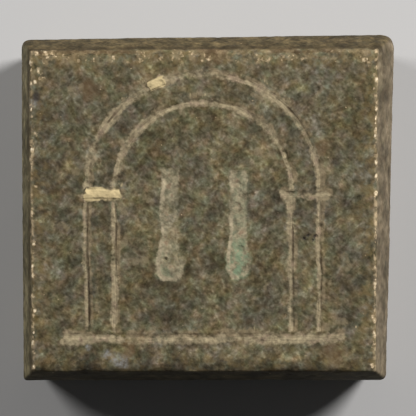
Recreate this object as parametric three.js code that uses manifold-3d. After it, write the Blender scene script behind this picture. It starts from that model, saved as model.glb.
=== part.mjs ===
// A square bronze scale weight of two ounces, as used on a hand balance: one thick cast block
// with a girth wider than its two faces, and an inlaid marking on its upper face. The marking
// is an arch on two columns over two upright slugs. Each stroke is a strip of softer metal
// hammered into a channel of its own.
//
// Millimetres, +Z up. The origin is at the middle of the underside, +Y towards the crown of
// the arch and +X to the right of someone who looks down on the marked face.
import * as THREE from "three";
import { mergeVertices } from "three/addons/utils/BufferGeometryUtils.js";
import Module from "manifold-3d";

const wasm = await Module();
wasm.setup();

// Block: the outline at the girth, a slightly crooked four-sided figure
const girthWidthTop = 29.8;
const girthWidthBottom = 28.9;
const girthHeightLeft = 27.2;
const girthHeightRight = 27.6;
const leftLean = 0.2;
const topLeftRadius = 0.6;
const topRightRadius = 1.3;
const bottomRightRadius = 0.6;
const bottomLeftRadius = 0.35;

// Block: how far the edges of its two faces lie inside the girth
const leftInset = 0.8;
const rightInsetTop = 1.5;
const rightInsetBottom = 0.95;
const topInsetLeft = 0.95;
const topInsetRight = 1.3;
const bottomInset = 0.8;
const faceCornerRadius = 0.35;

// Block: its height, where the girth lies in it, and how round the sides are up and down
const thickness = 8.2;
const girthLevel = 4.1;
const sideFullness = 1.4;
const sideRings = 6;
const cornerSteps = 5;

// Marking: how far it stays from the edges of the face
const crownMargin = 1.9;
const footMargin = 2.8;
const columnMargin = 4.4;

// Marking: the strips
const stripWidth = 0.42;
const bandWidth = 2.2;
const capitalWidth = 0.6;
const capitalOverhang = 0.8;
const baseWidth = 0.65;
const baseOverhang = 1.9;
const stripDepth = 0.5;
const archSteps = 16;
const endSteps = 4;

// Marking: the two slugs
const slugWidth = 1.6;
const slugLength = 8.4;
const slugDepth = 0.7;
const slugSpacing = 5.4;
const slugRise = 4.4;
const slugTopRadius = 0.3;

// Fits: the clearance round an inlay, the gap where one strip ends against another, and how
// far the inlays lie under the face
const inlayClearance = 0.02;
const buttGap = 0.05;
const inlaySink = 0.04;
const cutOvershoot = 0.5;

const bronze = new THREE.MeshStandardMaterial({ color: 0x6b634e, roughness: 0.85, metalness: 0.3 });
const stripMetal = new THREE.MeshStandardMaterial({ color: 0x9a8a6b, roughness: 0.75, metalness: 0.3 });
const slugMetal = new THREE.MeshStandardMaterial({ color: 0x867e62, roughness: 0.8, metalness: 0.3 });

// The girth's corners and the faces' corners, from the lower left one on, turning left
const lowerEdge = -girthHeightRight / 2;
const leftEdge = -girthWidthTop / 2;
const girthCorners = [
  { x: leftEdge + leftLean, y: lowerEdge, radius: bottomLeftRadius },
  { x: leftEdge + leftLean + girthWidthBottom, y: lowerEdge, radius: bottomRightRadius },
  { x: leftEdge + girthWidthTop, y: lowerEdge + girthHeightRight, radius: topRightRadius },
  { x: leftEdge, y: lowerEdge + girthHeightLeft, radius: topLeftRadius },
];
const faceMoves = [
  { x: leftInset, y: bottomInset },
  { x: -rightInsetBottom, y: bottomInset },
  { x: -rightInsetTop, y: -topInsetRight },
  { x: leftInset, y: -topInsetLeft },
];
const faceCorners = girthCorners.map((corner, i) => ({
  x: corner.x + faceMoves[i].x,
  y: corner.y + faceMoves[i].y,
  radius: faceCornerRadius,
}));

// The free field of the face, and the marking's main lines in it
const fieldLeft = Math.max(faceCorners[0].x, faceCorners[3].x);
const fieldRight = Math.min(faceCorners[1].x, faceCorners[2].x);
const fieldTop = Math.min(faceCorners[2].y, faceCorners[3].y);
const fieldBottom = Math.max(faceCorners[0].y, faceCorners[1].y);
const axisX = (fieldLeft + fieldRight) / 2;
const outerRadius = (fieldRight - fieldLeft) / 2 - columnMargin;
const innerRadius = outerRadius - bandWidth;
const springY = fieldTop - crownMargin - outerRadius;
const capitalTop = springY - buttGap;
const capitalFoot = capitalTop - capitalWidth;
const baseY = fieldBottom + footMargin;
const baseTop = baseY + baseWidth / 2;
const columnFoot = baseTop + buttGap;
const columnHead = capitalFoot - buttGap;

// Points of a four-sided outline with rounded corners, as many points for any radii
function roundedOutline(corners) {
  const points = [];
  corners.forEach((corner, i) => {
    const here = new THREE.Vector2(corner.x, corner.y);
    const before = corners[(i + corners.length - 1) % corners.length];
    const after = corners[(i + 1) % corners.length];
    const start = new THREE.Vector2(before.x, before.y).sub(here).setLength(corner.radius).add(here);
    const end = new THREE.Vector2(after.x, after.y).sub(here).setLength(corner.radius).add(here);
    points.push(...new THREE.QuadraticBezierCurve(start, here, end).getPoints(cornerSteps));
  });
  return points;
}

// The block before its channels are cut: outlines stacked from the underside to the girth and
// on to the marked face, each drawn in towards the faces' outline by its height off the girth
function blockGeometry() {
  const girth = roundedOutline(girthCorners);
  const face = roundedOutline(faceCorners);
  const count = girth.length;
  const positions = [];
  const index = [];
  for (let ring = -sideRings; ring <= sideRings; ring++) {
    const off = Math.abs(ring) / sideRings;
    const reach = ring < 0 ? -girthLevel : thickness - girthLevel;
    const z = girthLevel + reach * off;
    girth.forEach((point, i) => {
      const p = point.clone().lerp(face[i], off ** sideFullness);
      positions.push(p.x, p.y, z);
    });
  }
  for (let ring = 0; ring < 2 * sideRings; ring++) {
    for (let i = 0; i < count; i++) {
      const a = ring * count + i;
      const b = ring * count + ((i + 1) % count);
      index.push(a, b, b + count, a, b + count, a + count);
    }
  }
  const topStart = 2 * sideRings * count;
  for (const [a, b, c] of THREE.ShapeUtils.triangulateShape(face, [])) {
    index.push(a, c, b);
    index.push(topStart + a, topStart + b, topStart + c);
  }
  const geometry = new THREE.BufferGeometry();
  geometry.setAttribute("position", new THREE.Float32BufferAttribute(positions, 3));
  geometry.setIndex(index);
  return geometry;
}

// A closed geometry as a solid for cutting
function solidOf(geometry) {
  const bare = geometry.clone();
  bare.deleteAttribute("normal");
  bare.deleteAttribute("uv");
  const merged = mergeVertices(bare, 1e-5);
  return new wasm.Manifold(new wasm.Mesh({
    numProp: 3,
    vertProperties: merged.attributes.position.array,
    triVerts: new Uint32Array(merged.index.array),
  }));
}

// A solid as a geometry again
function geometryOf(solid) {
  const mesh = solid.getMesh();
  const geometry = new THREE.BufferGeometry();
  geometry.setAttribute("position", new THREE.BufferAttribute(mesh.vertProperties, 3));
  geometry.setIndex(new THREE.BufferAttribute(mesh.triVerts, 1));
  const flat = geometry.toNonIndexed();
  flat.computeVertexNormals();
  return flat;
}

// An upright strip with square ends that butt against the strips above and below it. The
// channel is wider by grow on each side, and runs on by run at both ends.
function columnShape(length, grow, run) {
  const half = stripWidth / 2 + grow;
  const shape = new THREE.Shape();
  shape.moveTo(-half, -run);
  shape.lineTo(half, -run);
  shape.lineTo(half, length + run);
  shape.lineTo(-half, length + run);
  return shape;
}

// A level strip with round ends, centred on its own middle
function barShape(length, width, grow) {
  const half = length / 2 - width / 2;
  const radius = width / 2 + grow;
  const shape = new THREE.Shape();
  shape.moveTo(-half, -radius);
  shape.absarc(half, 0, radius, -Math.PI / 2, Math.PI / 2, false);
  shape.absarc(-half, 0, radius, Math.PI / 2, 1.5 * Math.PI, false);
  return shape;
}

// A half ring that stands on its two square ends, which run down by run in the channel
function archShape(radius, grow, run) {
  const outer = radius + stripWidth / 2 + grow;
  const inner = radius - stripWidth / 2 - grow;
  const shape = new THREE.Shape();
  shape.moveTo(outer, -run);
  shape.absarc(0, 0, outer, 0, Math.PI, false);
  if (run > 0) {
    shape.lineTo(-outer, -run);
    shape.lineTo(-inner, -run);
  }
  shape.absarc(0, 0, inner, Math.PI, 0, true);
  if (run > 0) {
    shape.lineTo(inner, -run);
  }
  return shape;
}

// A slug with a round foot and a square head, its foot at the local origin
function slugShape(grow) {
  const half = slugWidth / 2 + grow;
  const head = slugLength + grow;
  const corner = slugTopRadius + grow;
  const shape = new THREE.Shape();
  shape.moveTo(half, slugWidth / 2);
  shape.lineTo(half, head - corner);
  shape.absarc(half - corner, head - corner, corner, 0, Math.PI / 2, false);
  shape.absarc(corner - half, head - corner, corner, Math.PI / 2, Math.PI, false);
  shape.absarc(0, slugWidth / 2, half, Math.PI, 2 * Math.PI, false);
  return shape;
}

function extrude(shape, depth, steps) {
  return new THREE.ExtrudeGeometry(shape, { depth, bevelEnabled: false, curveSegments: steps });
}

const weight = new THREE.Group();
let block = solidOf(blockGeometry());

// One inlay: it stands on the floor of its channel, and the channel is cut from the block
function addInlay(name, shape, channelShape, steps, x, y, depth, material) {
  const floor = thickness - depth;
  const channel = extrude(channelShape, depth + cutOvershoot, steps).translate(x, y, floor);
  block = block.subtract(solidOf(channel));
  const mesh = new THREE.Mesh(extrude(shape, depth - inlaySink, steps), material);
  mesh.name = name;
  mesh.position.set(x, y, floor);
  weight.add(mesh);
}

function addColumnStrip(name, x) {
  const length = columnHead - columnFoot;
  const channel = columnShape(length, inlayClearance, buttGap);
  addInlay(name, columnShape(length, 0, 0), channel, 1, x, columnFoot, stripDepth, stripMetal);
}

function addBar(name, x, y, length, width) {
  const channel = barShape(length, width, inlayClearance);
  addInlay(name, barShape(length, width, 0), channel, endSteps, x, y, stripDepth, stripMetal);
}

function addArchStrip(name, radius) {
  const channel = archShape(radius, inlayClearance, buttGap);
  addInlay(name, archShape(radius, 0, 0), channel, archSteps, axisX, springY, stripDepth, stripMetal);
}

function addSlug(name, x) {
  const y = baseTop + slugRise;
  addInlay(name, slugShape(0), slugShape(inlayClearance), endSteps, x, y, slugDepth, slugMetal);
}

addArchStrip("arch_outer_strip", outerRadius);
addArchStrip("arch_inner_strip", innerRadius);
for (const [side, turn] of [["left", -1], ["right", 1]]) {
  addColumnStrip(`${side}_column_outer_strip`, axisX + turn * outerRadius);
  addColumnStrip(`${side}_column_inner_strip`, axisX + turn * innerRadius);
  const capitalX = axisX + turn * (outerRadius + innerRadius) / 2;
  const capitalLength = bandWidth + 2 * capitalOverhang;
  addBar(`${side}_capital_strip`, capitalX, capitalTop - capitalWidth / 2, capitalLength, capitalWidth);
  addSlug(`${side}_slug`, axisX + turn * slugSpacing / 2);
}
addBar("base_strip", axisX, baseY, 2 * (outerRadius + baseOverhang), baseWidth);

const blockMesh = new THREE.Mesh(geometryOf(block), bronze);
blockMesh.name = "weight_block";
weight.add(blockMesh);

// The origin goes under the middle of the girth's box
const middle = new THREE.Box3().setFromObject(blockMesh).getCenter(new THREE.Vector3());
weight.position.set(-middle.x, -middle.y, 0);

export default weight;
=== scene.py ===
"""A square bronze scale weight seen from above on its inlaid face.

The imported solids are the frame. The block and each inlay are replaced by finely meshed pieces
with worn edges, pits, grooves and patina, in the same places.
"""
import itertools
import math

import bpy
import numpy as np
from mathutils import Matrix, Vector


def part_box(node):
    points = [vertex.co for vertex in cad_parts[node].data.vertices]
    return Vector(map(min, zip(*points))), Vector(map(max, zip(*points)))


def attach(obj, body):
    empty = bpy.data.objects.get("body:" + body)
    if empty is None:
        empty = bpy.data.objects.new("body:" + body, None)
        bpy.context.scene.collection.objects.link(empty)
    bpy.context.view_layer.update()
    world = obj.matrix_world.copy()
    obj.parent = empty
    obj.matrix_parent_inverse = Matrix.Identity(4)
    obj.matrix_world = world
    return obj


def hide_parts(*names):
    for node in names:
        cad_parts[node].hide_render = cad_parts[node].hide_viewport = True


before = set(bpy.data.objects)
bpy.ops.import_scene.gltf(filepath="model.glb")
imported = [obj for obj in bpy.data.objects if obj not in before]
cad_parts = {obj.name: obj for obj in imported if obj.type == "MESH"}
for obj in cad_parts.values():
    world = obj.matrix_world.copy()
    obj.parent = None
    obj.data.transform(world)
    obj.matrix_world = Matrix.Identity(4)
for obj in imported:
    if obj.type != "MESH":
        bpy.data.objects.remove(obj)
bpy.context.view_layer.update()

MM = 0.001

# The block's outlines in millimetres, from the lower left corner on, turning left
GIRTH_WIDTH_TOP = 29.8
GIRTH_WIDTH_BOTTOM = 28.9
GIRTH_HEIGHT_LEFT = 27.2
GIRTH_HEIGHT_RIGHT = 27.6
LEFT_LEAN = 0.2
GIRTH_RADII = (0.35, 0.6, 1.3, 0.8)
LEFT_INSET = 0.8
RIGHT_INSET_TOP = 1.5
RIGHT_INSET_BOTTOM = 0.95
TOP_INSET_LEFT = 1.05
TOP_INSET_RIGHT = 1.3
BOTTOM_INSET = 0.8
FACE_RADIUS = 0.35
GIRTH_LEVEL = 4.1
SIDE_FULLNESS = 1.4

# Mesh fineness
COLUMNS = 244
ROWS = 228
FILLET_RINGS = 4
SIDE_RINGS = 16
LOWER_RINGS = 12
CROWDING = 1.3
CROWD_REACH = 0.35
STRIP_STEP = 0.05
STRIP_LANES = 25
SLUG_STEP = 0.06

# Wear of the block
WEAR_RADIUS = 0.15
SOFTNESS_ON_SIDE = {"bottom": 1.8, "right": 0.9, "top": 2.1, "left": 0.9}
CHIPS_ON_SIDE = {"bottom": 0.25, "right": 0.6, "top": 0.5, "left": 0.6}
FACE_DROP = 0.05
RIM_DROP = 0.07
BROAD_RELIEF = 0.035
GRAIN_RELIEF = 0.022
PIT_COUNT = 260
PIT_RADII = (0.15, 0.45)
PIT_DEPTH = 0.10
CHIP_DEPTH = 0.10
# Small dark holes in the face: (x, y, radius) in millimetres
HOLES = [(7.6, -2.45, 0.22), (7.9, -2.2, 0.2), (8.5, -2.3, 0.22), (8.3, -2.55, 0.14), (-3.3, -4.1, 0.2)]
HOLE_DEPTH = 0.16

# Strokes: the strip's half width as drawn, the slit along it and the channel below it
STRIP_HALF_WIDTH = 0.30
WOBBLE = 0.08
TROUGH_DEPTH = 0.05
# Each slit's place off the middle, its width and its strength; most strokes have the plain one
PLAIN_SLIT = (0.05, 1.0, 1.0)
OTHER_SLITS = {"base_strip": (0.25, 1.7, 0.62), "right_capital_strip": (0.16, 1.5, 0.5)}
# How much of a stroke's length its slit is open along
COLUMN_SLIT_SHARE = 0.10
BAR_SLIT_SHARE = 0.12
ARCH_SLIT_SHARE = -0.28
SLIT_HALF_WIDTH = 0.065
SLIT_DEPTH = 0.05
CHANNEL_DEPTH = 0.36
CHANNEL_COVER = 0.14
CHANNEL_EDGE = 0.08
FOOT_DEPTH = CHANNEL_DEPTH + 0.06
EDGE_LIFT = 0.008
BORDER_DIP = 0.025
BORDER_WIDTH = 0.05
# How far a slug's colour reaches past it
SLUG_SPREAD = 0.22
# The way to the brighter light, in the plane of the face
LIGHT_WAY = np.array([0.6, 0.8])

# How broad the tan along each stroke is, next to the others: columns, bars and arches
BREADTHS = {
    "left_column_outer_strip": 0.7,
    "left_column_inner_strip": 1.5,
    "right_column_inner_strip": 2.2,
    "right_column_outer_strip": 1.1,
    "left_capital_strip": 1.2,
    "right_capital_strip": 1.7,
    "base_strip": 2.5,
    "arch_outer_strip": 2.8,
    "arch_inner_strip": 2.4,
}

FACE_SIDES = ("bottom", "right", "top", "left")

rng = np.random.default_rng(20)
TABLE = rng.uniform(-1.0, 1.0, 4096)
CELL_FACTORS = (73856093, 19349663, 83492791)
SEED_FACTOR = 26544357


# Noise and shaping functions

def lattice_noise(points, size, seed):
    """Smooth noise from -1 to 1 at points in millimetres, with features of that size."""
    q = points / size + 17.3 * seed
    cell = np.floor(q).astype(np.int64)
    f = q - cell
    f = f * f * (3 - 2 * f)
    total = np.zeros(len(points))
    for corner in itertools.product((0, 1), repeat=3):
        key = seed * SEED_FACTOR
        weight = 1.0
        for k in range(3):
            key = key ^ (cell[:, k] + corner[k]) * CELL_FACTORS[k]
            weight = weight * (f[:, k] if corner[k] else 1 - f[:, k])
        total += weight * TABLE[key % len(TABLE)]
    return total


def layered_noise(points, size, layers, seed):
    """Noise with finer and finer layers, each half as strong."""
    total = np.zeros(len(points))
    for k in range(layers):
        total += lattice_noise(points, size / 2**k, seed + k) / 2**k
    return total


def line_noise(s, size, seed, layers=1):
    """Noise along a line."""
    return layered_noise(np.column_stack([s, np.zeros_like(s), np.zeros_like(s)]), size, layers, seed)


def at_height(xy, z):
    """Points over points of the plane, all at one height or each at its own."""
    return np.column_stack([xy, np.broadcast_to(z, len(xy))])


def plane_noise(xy, size, seed, layers=1):
    """Noise in the plane of the face."""
    return layered_noise(at_height(xy, 0.0), size, layers, seed)


def smooth_step(low, high, x):
    t = np.clip((x - low) / (high - low), 0, 1)
    return t * t * (3 - 2 * t)


def within(x, inner, outer):
    """1 where x is closer to zero than inner, falling to 0 at outer."""
    return 1 - smooth_step(inner, outer, np.abs(x))


def turned_left(way):
    return np.array([-way[1], way[0]])


# Outlines

def outline_corners():
    """The girth's and the faces' corners about the origin; they are shifted afterwards so that the girth's
    box fills the CAD box.
    """
    low = -GIRTH_HEIGHT_RIGHT / 2
    left = -GIRTH_WIDTH_TOP / 2
    girth = np.array([
        (left + LEFT_LEAN, low),
        (left + LEFT_LEAN + GIRTH_WIDTH_BOTTOM, low),
        (left + GIRTH_WIDTH_TOP, low + GIRTH_HEIGHT_RIGHT),
        (left, low + GIRTH_HEIGHT_LEFT),
    ])
    face = girth + np.array([
        (LEFT_INSET, BOTTOM_INSET),
        (-RIGHT_INSET_BOTTOM, BOTTOM_INSET),
        (-RIGHT_INSET_TOP, -TOP_INSET_RIGHT),
        (LEFT_INSET, -TOP_INSET_LEFT),
    ])
    return girth, face


def rounded_sides(corners, radii, shares):
    """Four lists of points, one for each side, each from the middle of one corner's curve to
    the next. shares gives where the points lie on each side, from 0 to 1."""
    starts, ends = [], []
    for i in range(4):
        to_before = corners[i - 1] - corners[i]
        to_after = corners[(i + 1) % 4] - corners[i]
        starts.append(corners[i] + to_before / np.linalg.norm(to_before) * radii[i])
        ends.append(corners[i] + to_after / np.linalg.norm(to_after) * radii[i])

    def corner_curve(i, t):
        t = t[:, None]
        return (1 - t) ** 2 * starts[i] + 2 * t * (1 - t) * corners[i] + t**2 * ends[i]

    sides = []
    for i in range(4):
        j = (i + 1) % 4
        path = np.vstack([
            corner_curve(i, np.linspace(0.5, 1, 12)),
            corner_curve(j, np.linspace(0, 0.5, 12)),
        ])
        run = np.concatenate([[0], np.cumsum(np.linalg.norm(np.diff(path, axis=0), axis=1))])
        at = shares[i] * run[-1]
        sides.append(np.column_stack([np.interp(at, run, path[:, k]) for k in (0, 1)]))
    return sides


def ring_of(sides):
    """One closed ring of points from the four sides."""
    return np.vstack([side[:-1] for side in sides])


girth_corners, face_corners = outline_corners()
block_low, block_high = [np.array(corner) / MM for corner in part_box("weight_block")]
THICKNESS = block_high[2]
probe = ring_of(rounded_sides(girth_corners, GIRTH_RADII, [np.linspace(0, 1, 200)] * 4))
shift = (block_low[:2] + block_high[:2]) / 2 - (probe.min(axis=0) + probe.max(axis=0)) / 2
girth_corners = girth_corners + shift
face_corners = face_corners + shift


# Strokes of the marking, read from the frame's boxes

def node_box(name):
    low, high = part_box(name)
    return np.array(low) / MM, np.array(high) / MM


class Stroke:
    """A line or half circle that a strip follows, with its own waver, fading and slit."""

    def __init__(self, name, seed, width, start=None, end=None, centre=None, radius=None):
        self.name, self.seed, self.width, self.breadth = name, seed, width, BREADTHS[name]
        self.start, self.end, self.centre, self.radius = start, end, centre, radius
        if radius is None:
            self.length = np.linalg.norm(end - start)
            self.along = (end - start) / self.length
            self.left = turned_left(self.along)
            self.slit_share = COLUMN_SLIT_SHARE if name in COLUMN_NAMES else BAR_SLIT_SHARE
        else:
            self.length = math.pi * radius
            self.slit_share = ARCH_SLIT_SHARE
        self.slit_place, breadth, self.slit_strength = OTHER_SLITS.get(name, PLAIN_SLIT)
        self.slit_width = SLIT_HALF_WIDTH * breadth
        self.lumps = []

    def noise(self, s, size, k, layers=1):
        """The stroke's own noise along it, another one for each k."""
        return line_noise(s, size, self.seed + k, layers)

    def from_tip(self, s):
        """How far points at distance s are from the nearer end."""
        return np.minimum(s, self.length - s)

    def waver(self, s):
        """How far the stroke strays to its left from a true line or circle."""
        return WOBBLE * (self.noise(s, 3.2, 0) + 0.5 * self.noise(s, 1.0, 5))

    def place(self, s, offset):
        """Points at distance s along the stroke and offset to its left, in the plane."""
        if self.radius is None:
            return self.start + s[:, None] * self.along + offset[:, None] * self.left
        angle = s / self.radius
        r = self.radius - offset
        return self.centre + np.column_stack([r * np.cos(angle), r * np.sin(angle)])

    def measure(self, xy):
        """(distance along, offset to the left) of points in the plane."""
        if self.radius is None:
            d = xy - self.start
            return d @ self.along, d @ self.left
        d = xy - self.centre
        angle = np.arctan2(d[:, 1], d[:, 0])
        angle = np.where(angle < -math.pi / 2, angle + 2 * math.pi, angle)
        return angle * self.radius, self.radius - np.linalg.norm(d, axis=1)

    def light_side(self, s):
        """From -1 to 1: how far the stroke's left side is the one towards the brighter light."""
        if self.radius is None:
            facing = np.full(len(s), self.left @ LIGHT_WAY)
        else:
            angle = s / self.radius
            facing = -(np.cos(angle) * LIGHT_WAY[0] + np.sin(angle) * LIGHT_WAY[1])
        return np.clip(3 * facing, -1, 1)

    def half(self, s):
        """Half the width of the strip as worn."""
        ragged = 1 + 0.10 * self.noise(s, 1.4, 1) + 0.08 * self.noise(s, 0.35, 2)
        half = STRIP_HALF_WIDTH * (self.width / strokes[0].width) ** 0.6 * ragged
        half = half * (0.6 + 0.4 * smooth_step(0, 0.35, self.from_tip(s)))
        return half * (1 + 0.6 * self.lump(s, np.zeros(len(s))))

    def lump(self, s, offset):
        """Where a piece of the strip still stands proud of the face, 0 to 1."""
        total = np.zeros(len(s))
        ragged = s + 0.22 * plane_noise(self.place(s, offset), 0.45, self.seed + 21, 2)
        for start, end in self.lumps:
            middle, reach = (start + end) / 2, (end - start) / 2
            total = np.maximum(total, within(ragged - middle, reach - 0.15, reach))
        return total

    def trough(self, s, offset):
        """How far the worn strip is hollowed between its edges."""
        across = np.clip(np.abs(offset) / self.half(s), 0, 1)
        hollow = TROUGH_DEPTH * np.clip(0.75 + 0.7 * self.noise(s, 2.0, 8, 3), 0.1, 1.5)
        tip = smooth_step(0.0, 0.5, self.from_tip(s))
        return hollow * tip * (1 - self.lump(s, offset)) * (1 + np.cos(math.pi * across)) / 2

    def slit_waver(self, s):
        """How far the slit strays to the left from its place on the strip."""
        return 0.03 * self.noise(s, 1.8, 12, 3)

    def slit(self, s, offset):
        """How open the slit is at points of the strip, 0 to 1."""
        open_here = smooth_step(-0.05, 0.30, self.noise(s, 2.3, 3, 3) + self.slit_share)
        open_here = open_here * (0.5 + 0.5 * smooth_step(-0.45, 0.35, self.noise(s, 0.9, 28, 3)))
        flat = 1 - self.lump(s, offset)
        open_here = open_here * smooth_step(0.3, 0.8, self.from_tip(s)) * flat
        place = self.slit_place * self.light_side(s) + self.slit_waver(s)
        width = self.slit_width * np.clip(1 + 0.5 * self.noise(s, 0.7, 13, 3), 0.4, 1.8)
        closed = 0.28 * smooth_step(-0.3, 0.3, self.noise(s, 1.1, 18, 2)) * flat
        across = 1 - smooth_step(0.1, 1.9, np.abs(offset - place) / width)
        return self.slit_strength * np.maximum(open_here, closed) * across

    def marks(self, s, offset):
        """Strengths of the strip's tan, on the groove's lit wall further from the light, of the duller bank
        beyond the slit, towards the light, and of the slit.
        """
        xy = self.place(s, offset)
        scale = (self.width / strokes[0].width) ** 0.8
        side, lump, slit = self.light_side(s), self.lump(s, offset), self.slit(s, offset)
        flat = 1 - lump
        jog = (self.slit_waver(s) + 0.03 * self.noise(s, 0.8, 23, 3)) * flat
        q = offset / scale - jog + (0.04 + 0.04 * lump) * plane_noise(xy, 0.35, self.seed + 11, 2)
        fade = 0.62 + 0.38 * smooth_step(-0.6, 0.4, self.noise(s, 2.0, 6, 4))
        fade = np.maximum(fade, lump)
        uneven = smooth_step(-0.7, 0.7, self.noise(s, 1.3, 14, 3))
        broad = self.breadth * (0.02 + 0.11 * uneven) + 0.16 * lump
        solid, reach = (0.6 + 0.4 * lump) * broad, 0.24 + (1.25 - 0.25 * lump) * broad
        # The tan is the inlay's own colour, and partly a painted highlight on the groove's lit wall; the
        # bank, on the wall in shade, is duller as partly painted shade
        tan = fade * within(q + (0.14 - 0.2 * broad) * side * flat, solid, reach)
        bank_fade = 0.25 + 0.75 * smooth_step(-0.5, 0.4, self.noise(s, 1.5, 7, 3))
        bank_solid = 0.02 + 0.06 * self.breadth * (1 - uneven)
        bank = bank_fade * flat * within(q - 0.20 * side, bank_solid, 0.34)
        beyond = np.maximum(-s, s - self.length) + 0.25 * plane_noise(xy, 0.6, self.seed + 25, 2)
        past = within(np.maximum(beyond, 0), 0.0, 0.3)
        return tan * past, bank * past, slit * past

    def flecks(self, s, offset):
        """Strength of flecks of tan beside the strip, towards the light."""
        xy = self.place(s, offset)
        way = 0.66 + 0.16 * self.noise(s, 2.5, 15)
        here = smooth_step(-0.25, 0.4, self.noise(s, 3.1, 17))
        ends = smooth_step(-0.3, 0.3, self.from_tip(s))
        spots = smooth_step(-0.1, 0.5, plane_noise(xy, 0.5, self.seed + 16, 2))
        return here * ends * spots * within(offset - way * self.light_side(s), 0.06, 0.28)

    def streaks(self, s, offset):
        """Fine streaks along the strip, -1 to 1."""
        drawn_out = np.column_stack([s / 0.9, offset / 0.055, np.zeros(len(s))])
        return layered_noise(drawn_out, 1.0, 2, self.seed + 24)


def line_stroke(name, seed):
    """The stroke of a straight strip, along the longer way of its box."""
    low, high = node_box(name)
    size = high - low
    if size[0] < size[1]:
        x = (low[0] + high[0]) / 2
        return Stroke(name, seed, size[0], np.array([x, low[1]]), np.array([x, high[1]]))
    y = (low[1] + high[1]) / 2
    return Stroke(name, seed, size[1], np.array([low[0], y]), np.array([high[0], y]))


def arch_stroke(name, seed, width):
    """The stroke of a half circle that stands on the lower side of its box."""
    low, high = node_box(name)
    radius = (high[0] - low[0]) / 2 - width / 2
    centre = np.array([(low[0] + high[0]) / 2, low[1]])
    return Stroke(name, seed, width, centre=centre, radius=radius)


STROKE_NAMES = list(BREADTHS)
COLUMN_NAMES, BAR_NAMES, ARCH_NAMES = STROKE_NAMES[:4], STROKE_NAMES[4:7], STROKE_NAMES[7:]
strokes = [line_stroke(name, 30 + 13 * k) for k, name in enumerate(COLUMN_NAMES + BAR_NAMES)]
strokes += [arch_stroke(name, 141 + 13 * k, strokes[0].width) for k, name in enumerate(ARCH_NAMES)]
stroke_named = {stroke.name: stroke for stroke in strokes}
stroke_named["left_capital_strip"].lumps = [(0.5, 3.6)]
stroke_named["arch_outer_strip"].lumps = [(17.5, 18.9)]


class Slug:
    """An upright slug with a round lower end."""

    def __init__(self, name, seed, green, knob, fading):
        self.name, self.seed, self.green, self.knob, self.fading = name, seed, green, knob, fading
        self.low, self.high = node_box(name)
        self.half = (self.high[0] - self.low[0]) / 2
        self.middle = (self.high[0] + self.low[0]) / 2

    def distance(self, xy):
        """Distance in the plane from the slug's outline, negative inside it."""
        x = np.abs(xy[:, 0] - self.middle)
        foot = self.low[1] + self.half
        half = self.half * (1 - 0.3 * smooth_step(self.low[1] + 1.5, self.low[1] + 4.0, xy[:, 1]))
        round_foot = np.hypot(x, xy[:, 1] - foot) - self.half
        return np.where(xy[:, 1] < foot, round_foot, np.maximum(x - half, xy[:, 1] - self.high[1]))

    def marks(self, xy):
        """Strengths of the slug's tan body, of its paler rim and of its green corrosion."""
        height = (xy[:, 1] - self.low[1]) / (self.high[1] - self.low[1])
        spread = SLUG_SPREAD + self.knob * within(height, 0.12, 0.28)
        d = self.distance(xy) - spread + 0.14 * plane_noise(xy, 0.8, self.seed, 3)
        body = 1 - smooth_step(-0.34, 0.16, d)
        body = body * (0.84 + 0.16 * smooth_step(-0.4, 0.3, plane_noise(xy, 0.9, self.seed + 5, 3)))
        left = smooth_step(0.45, -0.7, (xy[:, 0] - self.middle) / (self.half + spread))
        body = body * (0.82 + 0.18 * left) * (1 - self.fading * within(height - 0.45, 0.08, 0.34))
        rim = within(d + 0.24, 0.04, 0.34)
        rim = rim * np.clip(0.34 + 0.66 * left + 0.2 * within(height, 0.05, 0.15), 0, 1)
        rim = rim * (0.3 + 0.7 * smooth_step(-0.9, -0.1, plane_noise(xy, 1.1, self.seed + 3, 2)))
        rim = rim * (1 - 0.7 * smooth_step(0.94, 0.98, height))
        green = self.green * (1 - smooth_step(0.16, 0.44, height)) + 0.28 * self.green
        return body, rim, green * body


slugs = [Slug("left_slug", 80, 0.25, 0.22, 0.26), Slug("right_slug", 91, 1.0, 0.0, -0.25)]


def channel_depth(xy):
    """How far the block lies below its face under the strips and slugs."""
    depth = np.zeros(len(xy))
    for stroke in strokes:
        s, offset = stroke.measure(xy)
        inside = np.clip(s, 0, stroke.length)
        reach = stroke.half(inside) - CHANNEL_COVER
        tip = reach + CHANNEL_COVER
        beyond = np.maximum(np.maximum(tip - s, s - (stroke.length - tip)), 0)
        d = np.hypot(offset - stroke.waver(inside), beyond)
        depth = np.maximum(depth, CHANNEL_DEPTH * (1 - smooth_step(reach - CHANNEL_EDGE, reach, d)))
    for slug in slugs:
        d = slug.distance(xy) + CHANNEL_COVER
        depth = np.maximum(depth, CHANNEL_DEPTH * (1 - smooth_step(-CHANNEL_EDGE, 0, d)))
    return depth


STROKE_MARKS = ("tan", "bank", "slit")
SLUG_MARKS = ("body", "rim", "green")


def face_marks(xy):
    """The marks of every stroke and slug at points of the face."""
    total = {name: np.zeros(len(xy)) for name in (*STROKE_MARKS, "fleck", *SLUG_MARKS)}

    def add(names, strengths):
        for name, strength in zip(names, strengths):
            total[name] = np.maximum(total[name], strength)

    for stroke in strokes:
        s, offset = stroke.measure(xy)
        offset = offset - stroke.waver(np.clip(s, 0, stroke.length))
        add(STROKE_MARKS, stroke.marks(s, offset))
        add(("fleck",), (stroke.flecks(s, offset),))
    for slug in slugs:
        add(SLUG_MARKS, slug.marks(xy))
    return total


# The block's mesh

def crowded_shares(steps, low, high, places):
    """Shares from 0 to 1 of the way from low to high, closer together near the given places."""
    at = np.linspace(low, high, 4000)
    density = np.ones_like(at)
    for place in places:
        density += CROWDING * np.exp(-(((at - place) / CROWD_REACH) ** 2))
    run = np.concatenate([[0], np.cumsum((density[1:] + density[:-1]) / 2)])
    wanted = np.linspace(0, run[-1], steps + 1)
    return (np.interp(wanted, run, at) - low) / (high - low)


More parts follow.
